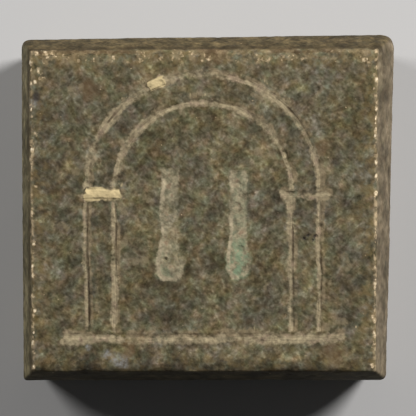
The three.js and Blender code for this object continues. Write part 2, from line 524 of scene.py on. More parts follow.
def across_shares(columns):
    """The columns' places across the face, closer together at the upright strokes."""
    places = [stroke_named[name].start[0] for name in COLUMN_NAMES]
    return crowded_shares(columns, face_corners[0][0], face_corners[1][0], places)


def up_shares(rows):
    """The rows' places up the face, closer together at the level strokes."""
    places = [stroke_named[name].start[1] for name in BAR_NAMES[1:]]
    return crowded_shares(rows, face_corners[0][1], face_corners[3][1], places)


def filled_grid(ring, columns, rows):
    """A grid of points that fills a ring, with the ring as its rim (a Coons patch)."""
    bottom = ring[: columns + 1]
    right = ring[columns : columns + rows + 1]
    top = ring[columns + rows : 2 * columns + rows + 1][::-1]
    left = np.vstack([ring[2 * columns + rows :], ring[:1]])[::-1]
    u = across_shares(columns)[:, None, None]
    v = up_shares(rows)[None, :, None]
    across = (1 - u) * left[None] + u * right[None]
    along = (1 - v) * bottom[:, None] + v * top[:, None]
    corners = (
        (1 - u) * (1 - v) * bottom[0]
        + u * (1 - v) * bottom[-1]
        + u * v * top[-1]
        + (1 - u) * v * top[0]
    )
    return across + along - corners


def rim_indices(columns, rows):
    """The grid's rim as (column, row) pairs, in the order of the ring."""
    pairs = [(i, 0) for i in range(columns)]
    pairs += [(columns, j) for j in range(rows)]
    pairs += [(i, rows) for i in range(columns, 0, -1)]
    pairs += [(0, j) for j in range(rows, 0, -1)]
    return pairs


def normals_of(points, quads):
    """Unit vertex normals of a mesh given as an array of quads."""
    a, b, c, d = (points[quads[:, k]] for k in range(4))
    face = np.cross(c - a, d - b)
    total = np.zeros_like(points)
    for k in range(4):
        np.add.at(total, quads[:, k], face)
    return total / np.maximum(np.linalg.norm(total, axis=1), 1e-12)[:, None]


def grid_quads(columns, rows, start, flip):
    """Quads of a grid whose first point has the number start."""
    i, j = np.meshgrid(np.arange(columns), np.arange(rows), indexing="ij")
    a = (start + i * (rows + 1) + j).ravel()
    quads = np.column_stack([a, a + rows + 1, a + rows + 2, a + 1])
    return quads[:, ::-1] if flip else quads


def block_rings(columns, rows, heights_and_pulls):
    """Rings of points round the block, each at a height off the underside and pulled inward."""
    across, up = across_shares(columns), up_shares(rows)
    shares = (across, up, 1 - across[::-1], 1 - up[::-1])
    girth = ring_of(rounded_sides(girth_corners, GIRTH_RADII, shares))
    face = ring_of(rounded_sides(face_corners, (FACE_RADIUS,) * 4, shares))
    tangent = np.roll(face, -1, axis=0) - np.roll(face, 1, axis=0)
    inward = np.column_stack([-tangent[:, 1], tangent[:, 0]])
    inward /= np.linalg.norm(inward, axis=1)[:, None]
    rings = []
    for height, pull in heights_and_pulls:
        upper = height >= GIRTH_LEVEL
        reach = np.where(upper, THICKNESS - GIRTH_LEVEL, GIRTH_LEVEL)
        share = (np.abs(height - GIRTH_LEVEL) / reach) ** SIDE_FULLNESS
        share = np.broadcast_to(share, (len(girth),))[:, None]
        xy = girth + (face - girth) * share + inward * np.broadcast_to(pull, (len(girth),))[:, None]
        rings.append(at_height(xy, height))
    return rings


def face_side(i):
    """One side of the face's outline: its start, length, direction and the way inward from it."""
    start, end = face_corners[i], face_corners[(i + 1) % 4]
    length = np.linalg.norm(end - start)
    along = (end - start) / length
    return start, length, along, turned_left(along)


def side_distances(xy):
    """Distances of points in the plane inward from each named side of the face's outline."""
    distances = {}
    for i, name in enumerate(FACE_SIDES):
        start, _, _, inward = face_side(i)
        distances[name] = (xy - start) @ inward
    return distances


def rim_distance(inward):
    """The distance to the nearest side, from the distances to each."""
    return np.minimum.reduce([np.abs(distance) for distance in inward.values()])


def wear_radius(columns, rows, seed):
    """How round the edge of a face is worn, for each point of its ring."""
    (ring,) = block_rings(columns, rows, [(THICKNESS, 0.0)])
    rough = layered_noise(ring, 1.3, 4, seed)
    softness = np.ones(len(ring))
    for side, distance in side_distances(ring[:, :2]).items():
        softness += (SOFTNESS_ON_SIDE[side] - 1) * within(distance, 0.05, 0.6)
    return WEAR_RADIUS * softness * np.clip(1 + 0.55 * rough, 0.4, 1.9)


def upper_rings():
    """Rings round the block from the face's rim down to the girth."""
    worn = wear_radius(COLUMNS, ROWS, 3)
    plan = []
    for k in range(FILLET_RINGS + 1):
        turn = k / FILLET_RINGS * math.pi / 2
        plan.append((THICKNESS - worn * (1 - math.cos(turn)), worn * (1 - math.sin(turn))))
    for k in range(1, SIDE_RINGS + 1):
        share = k / SIDE_RINGS
        plan.append(((THICKNESS - worn) * (1 - share) + GIRTH_LEVEL * share, 0.0))
    return block_rings(COLUMNS, ROWS, plan)


def lower_rings(columns, rows):
    """Rings round the block from below the girth down to the underside's rim."""
    worn = wear_radius(columns, rows, 9)
    plan = []
    for k in range(1, LOWER_RINGS + 1):
        share = k / LOWER_RINGS
        plan.append((GIRTH_LEVEL * (1 - share) + worn * share, 0.0))
    for k in range(1, FILLET_RINGS + 1):
        turn = (1 - k / FILLET_RINGS) * math.pi / 2
        plan.append((worn * (1 - math.cos(turn)), worn * (1 - math.sin(turn))))
    return block_rings(columns, rows, plan)


def build_block():
    """The block's points, quads and triangles before wear: a fine upper half on a coarser lower one."""
    half_columns, half_rows = COLUMNS // 2, ROWS // 2
    upper, lower = upper_rings(), lower_rings(half_columns, half_rows)
    points, quads, triangles = [], [], []
    count = 0

    def add(rows_of_points):
        nonlocal count
        points.append(rows_of_points)
        count += len(rows_of_points)
        return count - len(rows_of_points)

    def add_band(before, ring):
        first = add(ring)
        now = first + np.arange(len(ring))
        quads.append(np.column_stack([before, now, np.roll(now, -1), np.roll(before, -1)]))
        return now

    # The face, and rings from its rim to the girth
    flat = filled_grid(upper[0][:, :2], COLUMNS, ROWS).reshape(-1, 2)
    start = add(at_height(flat, THICKNESS))
    quads.append(grid_quads(COLUMNS, ROWS, start, False))
    before = np.array([start + i * (ROWS + 1) + j for i, j in rim_indices(COLUMNS, ROWS)])
    for ring in upper[1:]:
        before = add_band(before, ring)
    # Every second point goes on below the girth, to the underside
    first = add(lower[0])
    now = first + np.arange(len(lower[0]))
    even, odd = before[0::2], before[1::2]
    triangles.append(np.column_stack([even, now, odd]))
    quads.append(np.column_stack([odd, now, np.roll(now, -1), np.roll(even, -1)]))
    before = now
    for ring in lower[1:-1]:
        before = add_band(before, ring)
    flat = filled_grid(lower[-1][:, :2], half_columns, half_rows).reshape(-1, 2)
    start = add(at_height(flat, 0.0))
    quads.append(grid_quads(half_columns, half_rows, start, True))
    now = np.array([start + i * (half_rows + 1) + j for i, j in rim_indices(half_columns, half_rows)])
    quads.append(np.column_stack([before, now, np.roll(now, -1), np.roll(before, -1)]))
    return np.vstack(points), np.vstack(quads), np.vstack(triangles)


def choose_pits(points):
    """Scattered round pits as rows of place, radius and depth."""
    draw = np.random.default_rng(7)
    picks = points[draw.integers(0, len(points), PIT_COUNT)]
    radii = draw.uniform(*PIT_RADII, PIT_COUNT)
    depths = PIT_DEPTH * draw.uniform(0.3, 1, PIT_COUNT)
    holes = [(x, y, THICKNESS, radius, HOLE_DEPTH) for x, y, radius in HOLES]
    return np.vstack([np.column_stack([picks, radii, depths]), holes])


FACE_ZONE = THICKNESS - 0.05
block_points, block_quads, block_triangles = build_block()
pits = choose_pits(block_points)


def relief(points):
    """How far the worn surface stands out from the plain one."""
    depth = np.zeros(len(points))
    for x, y, z, radius, deep in pits:
        d = np.linalg.norm(points - (x, y, z), axis=1) / radius
        near = d < 1
        depth[near] = np.maximum(depth[near], deep * (1 - d[near] ** 2))
    broad = layered_noise(points, 6.0, 2, 50)
    grain = layered_noise(points, 0.55, 3, 60)
    return BROAD_RELIEF * broad + GRAIN_RELIEF * grain - depth - FACE_DROP


def face_height(xy):
    """Height of the worn face at points in the plane."""
    return THICKNESS + relief(at_height(xy, THICKNESS))


def make_mesh(name, points, faces, normals):
    """A mesh shaded by the given normals of its points."""
    mesh = bpy.data.meshes.new(name)
    mesh.from_pydata((points * MM).tolist(), [], faces)
    mesh.polygons.foreach_set("use_smooth", [True] * len(faces))
    mesh.normals_split_custom_set_from_vertices(normals.tolist())
    piece = bpy.data.objects.new(name, mesh)
    bpy.context.scene.collection.objects.link(piece)
    return piece


def set_attributes(piece, values):
    """Strengths of marks at the piece's points, for its material."""
    for name, numbers in values.items():
        layer = piece.data.attributes.new(name, "FLOAT", "POINT")
        layer.data.foreach_set("value", np.asarray(numbers, dtype=np.float32))


# Golden wear along each arris, partly a painted highlight, as strength and reach
GOLD_ON_SIDE = {"bottom": (0.05, 0.22), "right": (1.0, 0.22), "top": (0.16, 0.22), "left": (0.8, 0.26)}
# How much darker each wall is made just below its arris
DARKENING_BELOW_SIDE = {"bottom": 0.2, "right": 0.0, "top": 0.6, "left": 0.7}
# Beads of worn-through bronze along an arris, painted as bright highlights: least and most gap, least
# strength and size
BEAD_LINES = {"left": (0.35, 1.7, 0.4, 1.1), "right": (0.24, 1.15, 0.3, 1.0)}
BEAD_RADII = (0.07, 0.18)
STRAY_BEADS = 0.2
# Beads in clusters: place, reach across and up, count and strength
BEAD_CLUSTERS = [
    (-12.9, 12.1, 0.9, 0.25, 9, 0.95),
    (-13.5, 10.2, 0.3, 0.7, 6, 0.95),
    (-9.0, 11.7, 1.6, 0.25, 8, 0.8),
    (-2.5, 11.9, 3.0, 0.3, 9, 0.7),
    (5.0, 11.9, 3.0, 0.35, 10, 0.75),
    (12.4, 11.6, 0.5, 0.4, 5, 0.8),
]
# Patches of the face: (x, y, radius) in millimetres
GOLD_SPOTS = [(-13.7, 12.0, 1.0), (-12.5, 12.0, 1.0), (-13.5, 10.3, 0.9), (12.9, 11.6, 0.8)]
PALE_PATCHES = [
    (-7.9, -11.6, 0.5),
    (-7.3, -11.95, 0.7),
    (-6.6, -12.3, 0.6),
    (-9.4, -11.0, 0.3),
    (-13.9, 8.3, 0.55),
]
DARK_PATCHES = [(-13.6, 8.8, 0.55)]
SMEAR_COUNT = 26
BROWN_PATCHES = [(0.2, 12.5, 1.6), (-9.5, 9.4, 1.2), (-6.2, -11.2, 0.9), (8.8, 4.4, 1.0), (9.9, -11.5, 1.2)]


def patch(xy, places, seed):
    """Strength of ragged patches at points of the face."""
    total = np.zeros(len(xy))
    for x, y, radius in places:
        d = np.linalg.norm(xy - (x, y), axis=1) / radius
        total = np.maximum(total, 1 - smooth_step(0.35, 1.0, d + 0.35 * plane_noise(xy, 0.5, seed, 2)))
    return total


def choose_beads():
    """Beads of worn-through bronze, painted as bright highlights, as rows of x, y, radius and strength."""
    draw = np.random.default_rng(41)
    beads = []
    for side, (least, most, least_strength, size) in BEAD_LINES.items():
        start, length, along, inward = face_side(FACE_SIDES.index(side))
        at = draw.uniform(0.3, 1.0)
        while at < length - 0.4:
            depth = draw.uniform(0.2, 0.55) if draw.uniform() < STRAY_BEADS else draw.uniform(0.03, 0.17)
            place = start + along * at + inward * depth
            beads.append((*place, draw.uniform(*BEAD_RADII) * size, draw.uniform(least_strength, 1.0)))
            at += least + (most - least) * draw.uniform() ** 2
    for x, y, reach_x, reach_y, count, strength in BEAD_CLUSTERS:
        for _ in range(count):
            place = (x + draw.uniform(-reach_x, reach_x), y + draw.uniform(-reach_y, reach_y))
            beads.append((*place, draw.uniform(*BEAD_RADII), strength * draw.uniform(0.4, 1.0)))
    return beads


def bead_strength(xy):
    """How far points of the face are worn through to the bronze and painted with highlight, from the beads
    near them.
    """
    total = np.zeros(len(xy))
    for x, y, radius, strength in choose_beads():
        d = np.hypot(xy[:, 0] - x, (xy[:, 1] - y) / 1.3) / radius
        total = np.maximum(total, strength * (1 - smooth_step(0.6, 1.5, d)))
    return total


def choose_smears():
    """Short smears of tan at random places of the face, each a row of overlapping patches."""
    draw = np.random.default_rng(31)
    places = []
    for _ in range(SMEAR_COUNT):
        middle = draw.uniform((-12.0, -10.8), (11.5, 11.0))
        angle, radius = draw.uniform(0, math.pi), draw.uniform(0.25, 0.5)
        for step in (-1, 0, 1):
            way = np.array([math.cos(angle), math.sin(angle)]) * step * radius * 0.8
            places.append((*(middle + way), radius))
    return places


def wear_block(quads):
    """The block's plain normals, its worn points, and the normals that these are shaded by."""
    points, plain = block_points, normals_of(block_points, quads)
    xy, level = points[:, :2], points[:, 2]
    inward = side_distances(xy)
    chips = np.maximum.reduce([CHIPS_ON_SIDE[side] * within(d, 0.1, 0.5) for side, d in inward.items()])
    chips = chips * smooth_step(0.25, 0.9, layered_noise(points, 0.9, 3, 70))
    move = relief(points) - CHIP_DEPTH * chips * (level > THICKNESS - 1.2)
    worn = points + plain * move[:, None]
    near_face = smooth_step(THICKNESS - 1.5, THICKNESS, level)
    worn[:, 2] -= RIM_DROP * within(rim_distance(inward), 0.0, 1.2) * near_face
    worn[:, 2] = np.clip(worn[:, 2], 0.0, THICKNESS)
    # The channels under the strips don't show, so the face is shaded as if they weren't there
    shading = normals_of(worn, quads)
    worn[:, 2] -= channel_depth(xy) * (level > FACE_ZONE)
    return plain, worn, shading


def edge_marks(xy, height, inward):
    """Bronze worn through and painted with highlights, a darker band below each arris, and a brown line
    along the arrises.
    """
    on_edge = smooth_step(THICKNESS - 0.55, THICKNESS - 0.25, height)
    below = within(height - (THICKNESS - 0.75), 0.25, 0.65)
    gold_and_highlight, darker_below_arris = np.zeros(len(xy)), np.zeros(len(xy))
    for side, distance in inward.items():
        strength, reach = GOLD_ON_SIDE[side]
        gold_and_highlight = np.maximum(gold_and_highlight, strength * within(distance - 0.07, 0.07, reach) * on_edge)
        darker_below_arris = np.maximum(darker_below_arris, DARKENING_BELOW_SIDE[side] * within(distance, 0.15, 0.45) * below)
    under_top = within(inward["top"] - 0.45, 0.25, 0.75)
    spots = patch(xy, GOLD_SPOTS, 201) * smooth_step(0.0, 0.25, rim_distance(inward))
    top_line = within(inward["top"] - 0.10 - 0.15 * plane_noise(xy, 1.6, 208, 2), 0.05, 0.32)
    return {
        "gold_and_highlight": gold_and_highlight,
        "darker_below_arris": darker_below_arris,
        "glint": np.clip(0.8 * under_top + spots, 0, 1) * on_edge,
        "bead_and_highlight": bead_strength(xy) * on_edge,
        "brown_line": top_line * smooth_step(-0.3, 0.3, plane_noise(xy, 2.4, 209, 2)) * on_edge,
    }


def stain_marks(xy, height, inward):
    """Smears, patches and a discoloured margin on the face."""
    on_top = smooth_step(THICKNESS - 0.55, THICKNESS - 0.3, height)
    marks = {
        "blotch": within(inward["bottom"], 0.8, 2.8),
        "smear": patch(xy, choose_smears(), 206),
        "margin": 1 - smooth_step(0.4, 2.4, rim_distance(inward)),
        "pale": patch(xy, PALE_PATCHES, 202),
        "dark": np.maximum(patch(xy, DARK_PATCHES, 203), patch(xy, HOLES, 207)),
        "brown": patch(xy, BROWN_PATCHES, 204),
    }
    return {name: strength * on_top for name, strength in marks.items()}


def wall_marks(xy, height, inward, normals):
    """Where the walls are, which wall is which, and painted shade on the top and bottom walls and along the
    bottom edge of the face.
    """
    wall = 1 - smooth_step(0.35, 0.8, normals[:, 2])
    top_wall, bottom_wall = smooth_step(0.3, 0.9, normals[:, 1]), smooth_step(0.3, 0.9, -normals[:, 1])
    bottom_rim = within(inward["bottom"] + 0.3 * plane_noise(xy, 1.2, 205, 3), 0.0, 1.1)
    bottom_shade = 0.28 + 0.40 * smooth_step(GIRTH_LEVEL - 1.8, GIRTH_LEVEL + 0.8, height)
    return {
        "side": wall,
        "rosy": wall * smooth_step(0.5, 0.9, normals[:, 0]),
        # The left wall, made cooler and lighter; the lightening is painted light
        "cool_and_painted_light": wall * smooth_step(0.5, 0.9, -normals[:, 0]),
        "warm": wall * top_wall,
        # Painted shade: the top wall a little darker, the bottom wall darker towards the face, and the face
        # darker along its bottom edge
        "shade": wall * (0.30 * top_wall + bottom_shade * bottom_wall) + 0.50 * bottom_rim * (1 - wall),
    }


def make_block():
    quads = np.vstack([block_quads, np.column_stack([block_triangles, block_triangles[:, -1:]])])
    normals, worn, shading = wear_block(quads)
    faces = [tuple(face) for face in block_quads.tolist() + block_triangles.tolist()]
    piece = make_mesh("patinated_block", worn, faces, shading)
    xy, height = block_points[:, :2], worn[:, 2]
    inward = side_distances(xy)
    on_face = block_points[:, 2] > FACE_ZONE
    set_attributes(piece, {name: strength * on_face for name, strength in face_marks(xy).items()})
    set_attributes(piece, edge_marks(xy, height, inward))
    set_attributes(piece, stain_marks(xy, height, inward))
    set_attributes(piece, wall_marks(xy, height, inward, normals))
    return piece


# The strips and slugs

def make_sweep(name, top, dip, feet):
    """A closed piece from a grid of points on top and two rows of points at its foot. The top's
    border dips below the face, and is shaded as if it didn't."""
    along, across = np.gradient(top, axis=0), np.gradient(top, axis=1)
    upward = np.cross(along, across)
    upward /= np.linalg.norm(upward, axis=2)[..., None] * np.sign(upward[..., 2:])
    outward = np.stack([top[:, -1] - top[:, 0], top[:, 0] - top[:, -1]], axis=1)
    outward[..., 2] = 0
    outward /= np.linalg.norm(outward, axis=2)[..., None]
    top = top.copy()
    top[..., 2] -= dip
    grid = np.concatenate([top, np.stack(feet, axis=1)], axis=1)
    normals = np.concatenate([upward, outward], axis=1)
    return make_mesh(name, grid.reshape(-1, 3), sweep_faces(*grid.shape[:2]), normals.reshape(-1, 3))


def border_dip(from_side, from_end):
    """How far a strip's or slug's top dips at its border, so that no outline shows round it."""
    return BORDER_DIP * (1 - smooth_step(0, BORDER_WIDTH, np.minimum(from_side, from_end)))


def sweep_faces(steps, around):
    """Quads round a sweep with that many steps and points in each ring, and its two end faces."""
    i, j = np.meshgrid(np.arange(steps - 1), np.arange(around), indexing="ij")
    a = (i * around + j).ravel()
    b = (i * around + (j + 1) % around).ravel()
    faces = [tuple(q) for q in np.column_stack([a, a + around, b + around, b]).tolist()]
    last = (steps - 1) * around
    faces.append(tuple(range(around)))
    faces.append(tuple(range(last + around - 1, last - 1, -1)))
    return faces


def make_strip(stroke):
    """A strip with its hollow, slit and what still stands proud of the face."""
    steps = max(int(stroke.length / STRIP_STEP), 8)
    s = np.linspace(0, stroke.length, steps + 1)
    half, centre = stroke.half(s), stroke.waver(s)
    lanes, dips, marks, feet = [], [], [], []
    for t in np.linspace(-1, 1, STRIP_LANES):
        offset = t * half
        xy = stroke.place(s, centre + offset)
        lump = stroke.lump(s, offset)
        tan, bank, slit = stroke.marks(s, offset)
        z = face_height(xy) + EDGE_LIFT - stroke.trough(s, offset) - SLIT_DEPTH * slit
        z += lump * within(offset, 0.25, 0.38) * (0.07 + 0.035 * plane_noise(xy, 0.4, stroke.seed + 22, 2))
        lanes.append(at_height(xy, z))
        dips.append(border_dip(half * (1 - abs(t)), stroke.from_tip(s)))
        marks.append((tan, bank, slit, lump, stroke.streaks(s, offset)))
    for t in (1, -1):
        xy = stroke.place(s, centre + t * (half - CHANNEL_COVER))
        feet.append(at_height(xy, THICKNESS - FOOT_DEPTH))
        marks.append(marks[-1])
    piece = make_sweep(stroke.name + "_worn", np.stack(lanes, axis=1), np.stack(dips, axis=1), feet)
    values = {
        name: np.stack([lane[k] for lane in marks], axis=1).ravel()
        for k, name in enumerate((*STROKE_MARKS, "lump", "streak"))
    }
    set_attributes(piece, values)
    return piece


def make_slug(slug):
    """A slug with a round foot and an uneven, partly parted border."""
    steps = int((slug.high[1] - slug.low[1]) / SLUG_STEP)
    y = np.linspace(slug.low[1] + 0.01, slug.high[1] - 0.02, steps + 1)
    foot = slug.low[1] + slug.half
    width = np.where(y < foot, np.sqrt(np.clip(slug.half**2 - (foot - y) ** 2, 0.02, None)), slug.half)
    width = width * (1 + 0.05 * line_noise(y, 0.8, slug.seed + 9, 2))
    tip = np.minimum(y - y[0], y[-1] - y)
    lanes, dips, feet = [], [], []
    for t in np.linspace(1, -1, int(2 * slug.half / SLUG_STEP)):
        xy = np.column_stack([slug.middle + t * width, y])
        d = slug.distance(xy)
        inner = smooth_step(-0.1, -0.4, d)
        z = face_height(xy) + EDGE_LIFT + 0.022 * inner * plane_noise(xy, 0.9, slug.seed + 1, 3)
        open_here = smooth_step(0.0, 0.6, plane_noise(xy, 1.6, slug.seed + 2, 2))
        crooked = d + 0.15 + 0.10 * plane_noise(xy, 0.6, slug.seed + 4, 2)
        z -= 0.035 * open_here * within(crooked, 0.0, 0.12)
        lanes.append(at_height(xy, z))
        dips.append(border_dip(width * (1 - abs(t)), tip))
    for t in (-1, 1):
        foot_x = slug.middle + t * np.maximum(width - CHANNEL_COVER, 0.05)
        feet.append(at_height(np.column_stack([foot_x, y]), THICKNESS - FOOT_DEPTH))
    piece = make_sweep(slug.name + "_worn", np.stack(lanes, axis=1), np.stack(dips, axis=1), feet)
    marks = slug.marks(np.stack(lanes + feet, axis=1).reshape(-1, 3)[:, :2])
    set_attributes(piece, dict(zip(SLUG_MARKS, marks)))
    return piece


# Materials

# The noise is turned away from the block's own directions, so that no row of grains lines up with them
TURN = (0.61, 0.37, 0.83)
FIBRE_TURNS = [(0.45, 0.25, 0.75), (-0.35, 0.30, -0.70)]
FIBRE_STRETCH = 1.35
SHEEN = 0.15

# Colours of the inlay, from the strips' tan to the slugs' ramp, rim and corrosion
TAN = (0.345, 0.282, 0.173)
TAN_DULL = (0.27, 0.213, 0.127)
TAN_BRIGHT = (0.62, 0.49, 0.26)
TAN_PINK = (0.31, 0.228, 0.152)
# The bank is a duller copy of the tan, partly painted shade; the slit's dark is painted shade
BANK_IN_PAINTED_SHADE = (0.245, 0.185, 0.108)
SLIT_PAINTED_SHADE = (0.052, 0.033, 0.018)
SCRATCH = (0.46, 0.37, 0.21)
SLUG_STOPS = [
    (0.36, (0.195, 0.175, 0.112)),
    (0.46, (0.285, 0.240, 0.150)),
    (0.55, (0.375, 0.318, 0.206)),
    (0.64, (0.355, 0.255, 0.162)),
]
SLUG_RIM = (0.40, 0.33, 0.215)
GREEN = (0.205, 0.290, 0.175)

# Colours of the patina, its stains, the painted shade, and the worn-through bronze with its painted
# highlights
GRAIN_STOPS = [
    (0.35, (0.061, 0.051, 0.028)),
    (0.45, (0.097, 0.083, 0.048)),
    (0.55, (0.146, 0.128, 0.081)),
    (0.66, (0.228, 0.206, 0.142)),
]
WALL = ((0.064, 0.054, 0.028), (0.178, 0.146, 0.077))
ROSY_WALL = ((0.092, 0.069, 0.044), (0.190, 0.149, 0.098))
WARM_TINT = (0.98, 0.865, 0.765)
# The left wall's tint: cooler, and lighter as painted light
COOL_PAINTED_LIGHT_TINT = (1.16, 1.20, 1.26)
OCHRE = (0.200, 0.138, 0.055)
BROWN = (0.135, 0.082, 0.040)
BROWN_LINE = (0.085, 0.055, 0.026)
LIME = (0.270, 0.262, 0.240)
DARK = (0.030, 0.024, 0.024)
DARKER_BELOW_ARRIS = (0.038, 0.026, 0.013)
# The colour of the painted shade
SHADE = (0.009, 0.007, 0.004)
GOLD = (0.74, 0.55, 0.33)
# The most worn bronze, lightened to a painted highlight
GOLD_PAINTED_HIGHLIGHT = (1.0, 0.85, 0.60)
GOLD_DULL = (0.35, 0.26, 0.14)
GOLD_HAZE = (0.38, 0.29, 0.175)

# Tints that drift over the patina: the colour, and the size and seed of its patches
TINTS = [
    ((1.09, 0.985, 0.84), 0.85, 4.0),
    ((1.07, 0.972, 1.02), 0.65, 11.0),
    ((0.93, 1.025, 0.965), 0.90, 9.0),
    ((0.98, 1.00, 1.11), 1.30, 23.0),
    ((1.02, 1.00, 0.88), 4.50, 7.0),
]


class Shader:
    """A short way to write node graphs."""

    def __init__(self, name):
        self.material = bpy.data.materials.new(name)
        self.material.use_nodes = True
        self.tree = self.material.node_tree
        self.surface = self.tree.nodes["Principled BSDF"]
        self.surface.inputs["Specular IOR Level"].default_value = SHEEN
        self.place = self.node("TexCoord").outputs["Object"]
        self.turned = self.moved_place(Rotation=TURN)
        self.upright = self.moved_place(Rotation=TURN, Scale=(1, 1, 1.05))
        self.drawn_down = self.moved_place(Scale=(1, 3, 1))
        self.fibres = [self.moved_place(Rotation=turn, Scale=(FIBRE_STRETCH, 1, 1)) for turn in FIBRE_TURNS]

    def put(self, socket, value):
        """Links the value to the socket, or sets it there."""
        if isinstance(value, bpy.types.NodeSocket):
            self.tree.links.new(value, socket)
        else:
            socket.default_value = value

    def node(self, kind, sockets=None, **settings):
        """A new node, with its settings made and its sockets filled."""
        node = self.tree.nodes.new("ShaderNode" + kind)
        for key, value in settings.items():
            setattr(node, key, value)
        for key, value in (sockets or {}).items():
            self.put(node.inputs[key], value)
        return node

    def moved_place(self, **changes):
        """Object coordinates, turned and then drawn out."""
        return self.node("Mapping", {"Vector": self.place, **changes}, vector_type="TEXTURE").outputs[0]

    def noise(self, size, detail=2.0, roughness=0.5, seed=0.0, place=None):
        """Noise from 0 to 1 with features of that size in millimetres."""
        sockets = {"Vector": place or self.turned, "Scale": 1 / (size * MM), "W": seed}
        sockets.update({"Detail": detail, "Roughness": roughness})
        return self.node("TexNoise", sockets, noise_dimensions="4D").outputs["Fac"]

    def fibrous(self, size, seed):
        """Noise of short fibres that lie one way in some places and another way in others."""
        one, other = [self.noise(size, 1.5, 0.55, seed + k, place) for k, place in enumerate(self.fibres)]
        share = self.spots(1.2, 1.0, 0.5, seed + 5, 0.44, 0.56)
        return self.node("Mix", {0: share, 2: one, 3: other}).outputs[0]

    def mark(self, name):
        """A strength that the mesh carries."""
        return self.node("Attribute", attribute_name=name).outputs["Fac"]

    def spread(self, value, low, high, to_low=0.0, to_high=1.0):
        """value from low to high becomes to_low to to_high, clamped."""
        sockets = {"Value": value, "From Min": low, "From Max": high, "To Min": to_low, "To Max": to_high}
        return self.node("MapRange", sockets).outputs["Result"]

    def spots(self, size, detail, roughness, seed, low, high, to_low=0.0, to_high=1.0, place=None):
        """Noise with its range spread out."""
        return self.spread(self.noise(size, detail, roughness, seed, place), low, high, to_low, to_high)

    def maths(self, kind, a, b):
        return self.node("Math", {0: a, 1: b}, operation=kind).outputs["Value"]

    def times(self, first, *others):
        for other in others:
            first = self.maths("MULTIPLY", first, other)
        return first

    def blend(self, a, share_of_a, b, share_of_b):
        return self.maths("ADD", self.times(a, share_of_a), self.times(b, share_of_b))

    def mix(self, share, a, b, kind="MIX"):
        """The share of b over a, where each is a socket or a colour."""
        a, b = [c if isinstance(c, bpy.types.NodeSocket) else (*c, 1) for c in (a, b)]
        return self.node("Mix", {"Factor": share, 6: a, 7: b}, data_type="RGBA", blend_type=kind).outputs[2]

    def multiplied(self, colour, other, share=1.0):
        return self.mix(share, colour, other, "MULTIPLY")

    def painted(self, colour, strength, share, tint):
        """The colour under a tint that is as strong as the share of the strength."""
        return self.mix(self.times(strength, share), colour, tint)

    def grained(self, colour, least, most):
        """The colour darker and lighter from fibre to fibre."""
        return self.multiplied(colour, self.spread(self.fibrous(0.29, 60.0), 0.34, 0.66, least, most))

    def streaked(self, colour, least, most):
        """The colour darker and lighter in streaks along a strip."""
        return self.multiplied(colour, self.spread(self.mark("streak"), -1.0, 1.0, least, most))

    def ragged(self, strength, size, seed):
        """The strength of a mark with its edge broken up by noise."""
        uneven = self.spots(size, 3.0, 0.6, seed, 0.3, 0.7, -0.34, 0.34)
        return self.spread(self.maths("ADD", strength, uneven), 0.30, 0.92)

    def ramp(self, value, stops):
        node = self.node("ValToRGB", {"Fac": value})
        parts = node.color_ramp.elements
        while len(parts) < len(stops):
            parts.new(0.5)
        for part, (at, colour) in zip(parts, stops):
            part.position = at
            part.color = (*colour, 1)
        return node.outputs["Color"]

    def finish(self, colour, roughness, metallic=0.0, relief=None, depth=0.0):
        """The material, with its surface's looks and a relief of that depth in millimetres."""
        for key, value in (("Base Color", colour), ("Roughness", roughness), ("Metallic", metallic)):
            self.put(self.surface.inputs[key], value)
        if relief:
            bump = self.node("Bump", {"Strength": 1.0, "Distance": depth * MM, "Height": relief})
            self.put(self.surface.inputs["Normal"], bump.outputs["Normal"])
        return self.material


def patina_colour(m):
    """Olive-brown grains, tinted ochre, pinkish, greenish and grey from place to place."""
    grains = m.blend(m.fibrous(0.29, 60.0), 0.65, m.noise(0.66, 3.0, 0.55, 40.0), 0.35)
    colour = m.ramp(grains, GRAIN_STOPS)
    for tint, size, seed in TINTS:
        colour = m.multiplied(colour, tint, m.spots(size, 2.0, 0.5, seed, 0.44, 0.62))
    colour = m.multiplied(colour, m.spots(1.5, 4.0, 0.64, 14.0, 0.34, 0.66, 0.55, 1.42))
    return m.multiplied(colour, m.spots(4.0, 2.0, 0.5, 2.0, 0.3, 0.7, 0.82, 1.18))


def patina_relief(m):
    return m.maths("ADD", m.fibrous(0.22, 70.0), m.times(m.noise(0.8, 3.5, 0.62, 6.0), 0.9))


def add_stroke_marks(m, colour):
    """The strip's light tan, partly a painted highlight on the groove's lit wall, the duller bank beyond
    it, partly painted shade, and the slit, painted dark as shade.
    """
    tan = m.mix(m.spots(0.6, 3.0, 0.55, 17.0, 0.40, 0.66), TAN, TAN_DULL)
    tan = m.mix(m.spots(0.8, 2.0, 0.5, 19.0, 0.50, 0.68), tan, TAN_PINK)
    tan = m.streaked(m.grained(tan, 0.76, 1.30), 0.72, 1.28)
    bank = m.streaked(m.grained(BANK_IN_PAINTED_SHADE, 0.72, 1.30), 0.65, 1.35)
    colour = m.painted(colour, m.ragged(m.mark("bank"), 0.40, 13.0), 0.72, bank)
    colour = m.painted(colour, m.ragged(m.mark("tan"), 0.30, 12.0), 0.95, tan)
    # The slit painted dark as shade, for the shadow inside the groove
    return m.painted(colour, m.mark("slit"), 0.80, SLIT_PAINTED_SHADE)


